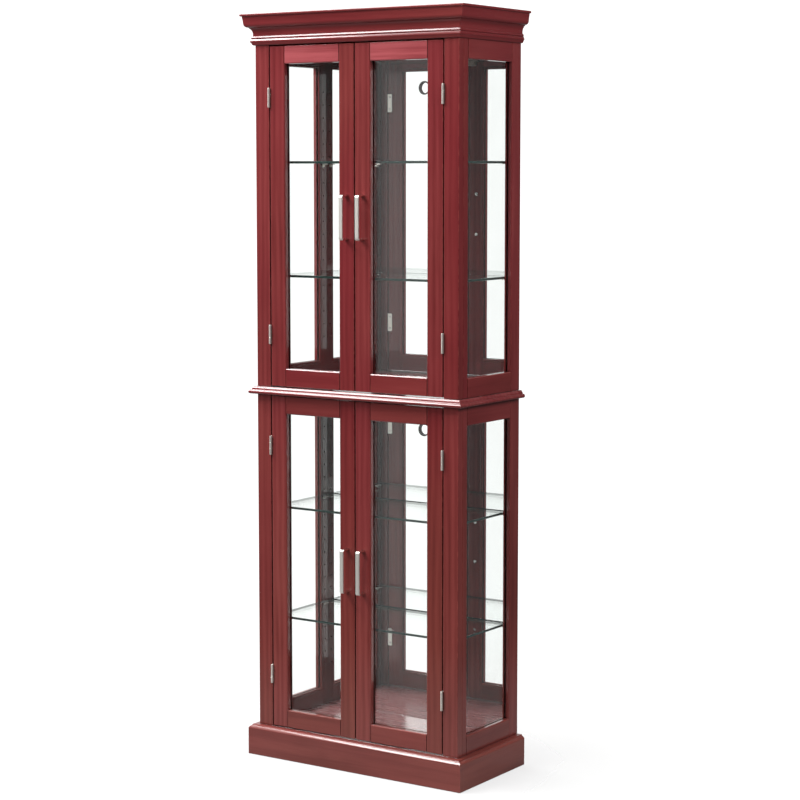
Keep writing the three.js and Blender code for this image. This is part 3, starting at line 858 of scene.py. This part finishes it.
# ------------------------------------------------------------------ doors
def door(level, side, s):
    body = f"{level}_{side}_door"
    lo, hi = nb(f"{level}_{side}_door_frame")
    glo, ghi = nb(f"{level}_{side}_door_glass")
    x_in, x_out = (lo[0], hi[0]) if s > 0 else (hi[0], lo[0])
    sn, so = (glo[0] + 6.7, ghi[0] - 6.7) if s > 0 else (ghi[0] - 6.7, glo[0] + 6.7)
    z0, z1, s0, s1 = lo[2], hi[2], glo[2] + 6.7, ghi[2] - 6.7
    yf, yb_, lip, rb = lo[1], hi[1], lo[1] + 12, 7.0
    p = Piece(f"{level}_{side}_door_framing", body, "cherry_wood", [WOOD], [f"{level}_{side}_door_frame"])

    def stile(a, b):
        d = 1 if b > a else -1
        pts = [(a, yf), (b - d * 1.9, yf), (b, yf + 1.9), (b, lip), (b - d * rb, lip), (b - d * rb, yb_), (a, yb_)]
        rad = [1.0, 0.9, 0.9, 0, 0, 0.7, 0.8]
        return prism(fillet(pts, rad, 3), lambda x, y, t: (x, y, t), z0, z1, 0.5)

    p.add(stile(x_out, so), "Z")
    p.add(stile(x_in, sn), "Z")
    e = 0.14

    def rail(a, b):
        d = 1 if b > a else -1
        pts = [(a, yf), (b - d * 2.3, yf), (b, yf + 1.6), (b, lip), (b - d * rb, lip), (b - d * rb, yb_), (a, yb_)]
        rad = [1.0, 0.9, 0.7, 0, 0, 0.7, 0.8]
        x0, x1 = min(sn, so) + e, max(sn, so) - e
        return prism(fillet(pts, rad, 3), lambda z, y, t: (t, y, z), x0, x1, 0.4)

    p.add(rail(z0, s0), "X", tone_and_sheen=0.08)
    # upper doors' top rails fully pale: a painted highlight where the overhead light catches them
    p.add(rail(z1, s1), "X", tone_and_sheen=1.0 if level == "upper" else 0.12)
    for z_a, z_b in ((z0 + 0.2, s0 - rb), (s1 + rb, z1 - 0.2)):
        for b, d in ((sn, -s), (so, s)):
            p.add(block((b - d * 0.0 + d * 0.05, lip + 0.05, z_a), (b + d * (rb - 0.05), yb_ - 0.05, z_b), 0.1, 1), "X")
    p.done(38)
    pane(f"{level}_{side}_door_pane", f"{level}_{side}_door_glass", body, DOOR_PANE[level, side])

    q = Piece(f"{level}_{side}_door_glass_beads", body, "cherry_wood", [WOOD])
    w0, w1 = ghi[1] + 0.2, yb_ + 0.6
    xa, xb = min(sn, so), max(sn, so)
    q.add(block((xa - rb + 0.3, w0, s0 - rb + 0.3), (xa - 0.1, w1, s1 + rb - 0.3), 1.2, 3), "Z")
    q.add(block((xb + 0.1, w0, s0 - rb + 0.3), (xb + rb - 0.3, w1, s1 + rb - 0.3), 1.2, 3), "Z")
    q.add(block((xa, w0, s0 - rb + 0.3), (xb, w1, s0 - 0.1), 1.2, 3), "X")
    q.add(block((xa, w0, s1 + 0.1), (xb, w1, s1 + rb - 0.3), 1.2, 3), "X")
    q.done(50)

    # pull: one flat strip bent at both ends
    lo, hi = nb(f"{level}_{side}_pull")
    y0, y1, za, zb, t = hi[1], lo[1], lo[2], hi[2], 3.6
    h = Piece(f"{level}_{side}_bar_pull", body, "satin_nickel", [PULL, POLISHED], [f"{level}_{side}_pull"])
    c = t / 2
    path = fillet([(y0, za + c), (y1 + c, za + c), (y1 + c, zb - c), (y0, zb - c)], [0, 3.4, 3.4, 0], 8)
    bar = strip(path, t, lo[0], hi[0], 0.7)
    for f in bar.faces:
        f.material_index = 1 if f.calc_center_median().y * 1000 > y1 + t + 0.5 else 0
    h.add(bar, "Z", edge_mat=1)
    h.done(35)
    # the pull's two screws, from the back of the stile
    cx = (lo[0] + hi[0]) / 2
    h = Piece(f"{level}_{side}_pull_screws", body, "satin_nickel", [STEEL])
    for z in (za + t / 2, zb - t / 2):
        h.add(turned([(0, -0.4), (4.0, -0.4), (4.1, 0.6), (3.2, 1.5), (1.6, 1.95), (0, 2.0)], (cx, yb_, z), (0, 1, 0), 24), "Z")
    h.done()

    # strike plate for the magnetic catch
    zt = hi_z_of_catch[level]
    k = Piece(f"{level}_{side}_strike_plate", body, "satin_nickel", [STEEL])
    xc = s * 14.0
    pl = fillet([(xc - 8, zt - 11.5), (xc + 8, zt - 11.5), (xc + 8, zt - 0.8), (xc - 8, zt - 0.8)], 1.6, 3)
    k.add(prism(pl, lambda x, z, u: (x, u, z), yb_ + 0.02, yb_ + 0.95, 0.2), "X")
    k.add(screw_head((xc, yb_ + 0.75, zt - 6), (0, 1, 0), 2.0, 0.5), "X")
    k.done(40)

    # hinges
    for tag in ("bottom", "top"):
        fl, fh = nb(f"{level}_{side}_{tag}_hinge_fixed_leaf")
        h0, h1 = fl[2], fh[2]
        zc, L = (h0 + h1) / 2, h1 - h0
        px, py, kr = s * 246.5, FRONT - 3.2, 2.8
        k6 = L / 6
        fx0, fx1 = px + s * 0.15, px + s * 1.2
        a = Piece(f"{level}_{side}_{tag}_hinge_post_side", "cabinet", "satin_nickel", [NICKEL], [f"{level}_{side}_{tag}_hinge_fixed_leaf"])
        leaf = fillet([(py + kr + 0.35, h0), (REAR - 1.5, h0), (REAR - 1.5, h1), (py + kr + 0.35, h1)], [0.3, 2.0, 2.0, 0.3], 4)
        a.add(prism(leaf, lambda y, z, u: (u, y, z), min(fx0, fx1), max(fx0, fx1), 0.15), "Z")
        for b0, b1 in ((h0, zc - k6), (zc + k6, h1)):
            a.add(block((min(fx0, fx1), py + 0.8, b0 + 0.2), (max(fx0, fx1), py + kr + 0.8, b1 - 0.2), 0.1, 1), "Z")
            a.add(turned([(0, b0), (kr - 0.45, b0), (kr, b0 + 0.45), (kr, b1 - 0.4), (kr - 0.35, b1), (0, b1)], (px, py, 0), (0, 0, 1), 32), "Z")
        a.add(turned([(0, h0 + 2), (1.1, h0 + 2), (1.1, h1 - 2), (0, h1 - 2)], (px, py, 0), (0, 0, 1), 20), "Z")
        a.done(40)

        mx0, mx1 = px - s * 0.15, px - s * 1.2
        b = Piece(f"{level}_{side}_{tag}_hinge_door_side", body, "satin_nickel", [NICKEL], [f"{level}_{side}_{tag}_hinge_door_leaf"])
        back = REAR + 0.3
        b.add(block((mx0, py + kr + 0.35, h0), (mx1, back + 1.2, h1), 0.25, 2), "Z")
        xe = px - s * 13.5
        plate = fillet([(mx0, h0), (xe, h0), (xe, h1), (mx0, h1)], [0.2, 2.4, 2.4, 0.2], 4)
        b.add(prism(plate, lambda x, z, u: (x, u, z), back, back + 1.2, 0.25), "Z")
        b.add(block((min(mx0, mx1), py + 0.8, zc - k6 + 0.35), (max(mx0, mx1), py + kr + 0.8, zc + k6 - 0.35), 0.1, 1), "Z")
        b.add(turned([(1.35, zc - k6 + 0.3), (kr - 0.35, zc - k6 + 0.3), (kr, zc - k6 + 0.65), (kr, zc + k6 - 0.65), (kr - 0.35, zc + k6 - 0.3),
                      (1.35, zc + k6 - 0.3), (1.35, zc - k6 + 0.3)], (px, py, 0), (0, 0, 1), 32), "Z")
        b.done(40)
        c = Piece(f"{level}_{side}_{tag}_hinge_screws", body, "satin_nickel", [STEEL])
        for zz in (zc - 15, zc + 15):
            c.add(screw_head((px - s * 7.6, back + 1.0, zz), (0, 1, 0), 2.7, 0.3 + zz), "Z")
        c.done(40)


# ------------------------------------------------------------------ catches
hi_z_of_catch = {}
for level in LEVELS:
    lo, hi = nb(f"{level}_catch")
    hi_z_of_catch[level] = hi[2]
    p = Piece(f"{level}_magnetic_catch", "cabinet", "catch_plastic", [IVORY], [f"{level}_catch"])
    p.add(block((-22.8, lo[1], lo[2]), (22.8, hi[1], hi[2] - 0.1), 1.4, 3), "X")
    ears = fillet([(-31, lo[1] + 3), (31, lo[1] + 3), (31, hi[1]), (-31, hi[1])], 2.2, 4)
    p.add(prism(ears, lambda x, y, t: (x, y, t), hi[2] - 2, hi[2], 0.3), "X")
    p.done(40)
    q = Piece(f"{level}_catch_poles", "cabinet", "satin_nickel", [STEEL])
    for x in (-14, 14):
        for dz in (-2.6, 2.6):
            q.add(block((x - 6.5, lo[1] - 0.7, (lo[2] + hi[2]) / 2 + dz - 0.6), (x + 6.5, lo[1] + 5, (lo[2] + hi[2]) / 2 + dz + 0.6), 0.2, 1), "X")
        q.add(screw_head((math.copysign(27, x), (lo[1] + 3 + hi[1]) / 2, hi[2] - 1.8), (0, 0, -1), 2.0, 0.7), "X")
    q.done(40)

for level in LEVELS:
    for side, s in SIDES:
        door(level, side, s)

# ------------------------------------------------------------------ floor, light, camera
def floor():
    bm = bmesh.new()
    rings = [0.0, 0.6, 1.2, 2.0, 3.0, 4.5, 6.5, 9.0]
    n = 64
    rows = [[bm.verts.new((0, 0, 0))]]
    for r in rings[1:]:
        rows.append([bm.verts.new((r * math.cos(2 * math.pi * k / n), r * math.sin(2 * math.pi * k / n), 0)) for k in range(n)])
    for r0, r1 in zip(rows, rows[1:]):
        for k in range(n):
            j = (k + 1) % n
            bm.faces.new((r0[0], r1[k], r1[j]) if len(r0) == 1 else (r0[k], r1[k], r1[j], r0[j]))
    me = bpy.data.meshes.new("studio_floor")
    bm.to_mesh(me)
    bm.free()
    o = bpy.data.objects.new("studio_floor", me)
    bpy.context.scene.collection.objects.link(o)
    o.location.z = -0.0006
    m = Nodes("studio_floor_white")
    c = m.obj()
    ln = m.n("ShaderNodeVectorMath", operation="LENGTH")
    m.l(c, ln.inputs[0])
    fade = m.span(ln.outputs["Value"], 0.3, 1.5, 0.55, 1.0)
    d = m.n("ShaderNodeBsdfDiffuse")
    m.l(m.ramp(m.noise(c, 3.0, 4.0, 0.6), [(0.3, (0.47, 0.47, 0.47)), (0.7, (0.51, 0.51, 0.51))]), d.inputs[0])
    t = m.n("ShaderNodeBsdfTransparent")
    mx = m.n("ShaderNodeMixShader")
    m.l(fade, mx.inputs[0])
    m.l(d.outputs[0], mx.inputs[1])
    m.l(t.outputs[0], mx.inputs[2])
    m.l(mx.outputs[0], m.out.inputs[0])
    me.materials.append(m.mat)


floor()

scene = bpy.context.scene
scene.view_settings.view_transform = "Standard"
scene.view_settings.look = "None"
world = bpy.data.worlds.new("studio")
scene.world = world
world.use_nodes = True
wt = world.node_tree
wt.nodes.clear()
wo = wt.nodes.new("ShaderNodeOutputWorld")
bg = wt.nodes.new("ShaderNodeBackground")
bg.inputs["Color"].default_value = (1.0, 1.0, 1.0, 1)
bg.inputs["Strength"].default_value = 1.2
lit = wt.nodes.new("ShaderNodeBackground")
lit.inputs["Color"].default_value = (1, 1, 1, 1)
tc = wt.nodes.new("ShaderNodeTexCoord")


def lobe(direction, a, b, c, d):
    """Sky brightness that changes from c to d as the direction turns towards the given one."""
    dot = wt.nodes.new("ShaderNodeVectorMath")
    dot.operation = "DOT_PRODUCT"
    wt.links.new(tc.outputs["Generated"], dot.inputs[0])
    dot.inputs[1].default_value = Vector(direction).normalized()
    mr = wt.nodes.new("ShaderNodeMapRange")
    mr.interpolation_type = "SMOOTHSTEP"
    wt.links.new(dot.outputs["Value"], mr.inputs[0])
    for i, x in enumerate((a, b, c, d)):
        mr.inputs[i + 1].default_value = x
    return mr.outputs[0]


def plus(a, b):
    n = wt.nodes.new("ShaderNodeMath")
    n.operation = "ADD"
    wt.links.new(a, n.inputs[0])
    wt.links.new(b, n.inputs[1])
    return n.outputs[0]


sky = plus(lobe((-0.97, 0.25, 0.05), 0.3, 0.98, 0.08, 0.95), lobe((-0.3, -0.1, 1.0), 0.3, 0.95, 0.0, 0.5))
wt.links.new(sky, lit.inputs["Strength"])
lp = wt.nodes.new("ShaderNodeLightPath")
clear = wt.nodes.new("ShaderNodeBackground")
clear.inputs["Color"].default_value = (1, 1, 1, 1)
wt.links.new(lobe((0.557, 0.83, -0.05), 0.55, 0.95, 1.2, 0.3), clear.inputs["Strength"])
m2 = wt.nodes.new("ShaderNodeMixShader")
wt.links.new(lp.outputs["Is Singular Ray"], m2.inputs[0])
wt.links.new(lit.outputs[0], m2.inputs[1])
wt.links.new(clear.outputs[0], m2.inputs[2])
ms = wt.nodes.new("ShaderNodeMixShader")
wt.links.new(lp.outputs["Is Camera Ray"], ms.inputs[0])
wt.links.new(m2.outputs[0], ms.inputs[1])
wt.links.new(bg.outputs[0], ms.inputs[2])
wt.links.new(ms.outputs[0], wo.inputs[0])
scene.cycles.transparent_max_bounces = 32


def area(name, loc, target, size, power, colour=(1, 1, 1)):
    d = bpy.data.lights.new(name, "AREA")
    d.shape = "RECTANGLE"
    d.size, d.size_y = size
    d.energy = power
    d.color = colour
    o = bpy.data.objects.new(name, d)
    scene.collection.objects.link(o)
    o.location = loc
    o.rotation_mode = "QUATERNION"
    o.rotation_quaternion = (Vector(loc) - Vector(target)).to_track_quat("Z", "Y")
    return o


key = area("key_softbox", (-0.8, -4.0, 2.3), (0, 0, 0.9), (2.0, 2.2), 75)
key.visible_glossy = False
area("front_top_softbox", (-2.1, -1.5, 3.5), (0, -0.1, 1.1), (2.8, 0.8), 150)
area("overhead_softbox", (-1.2, -0.3, 3.9), (0, -0.1, 1.2), (2.0, 2.0), 90)
fill = area("right_fill", (2.9, -0.7, 2.5), (0.25, 0, 1.55), (1.2, 1.2), 66)
fill.visible_glossy = False
back = area("back_fill", (0.9, 3.2, 2.4), (0, 0, 0.9), (2.0, 2.0), 70)
back.visible_glossy = False

cam_data = bpy.data.cameras.new("camera")
cam = bpy.data.objects.new("camera", cam_data)
scene.collection.objects.link(cam)
AZ, PITCH, FPX = math.radians(33.877), math.radians(5.8), 2143.5
cam.location = (2.8827, -4.2249, 1.4302)
fwd = Vector((-math.sin(AZ) * math.cos(PITCH), math.cos(AZ) * math.cos(PITCH), -math.sin(PITCH)))
cam.rotation_mode = "QUATERNION"
cam.rotation_quaternion = fwd.to_track_quat("-Z", "Y")
cam_data.sensor_width = 36
cam_data.lens = FPX * 36 / 800
cam_data.shift_y = -12 / 800
cam_data.clip_end = 60
cam_data.dof.use_dof = False
scene.camera = cam
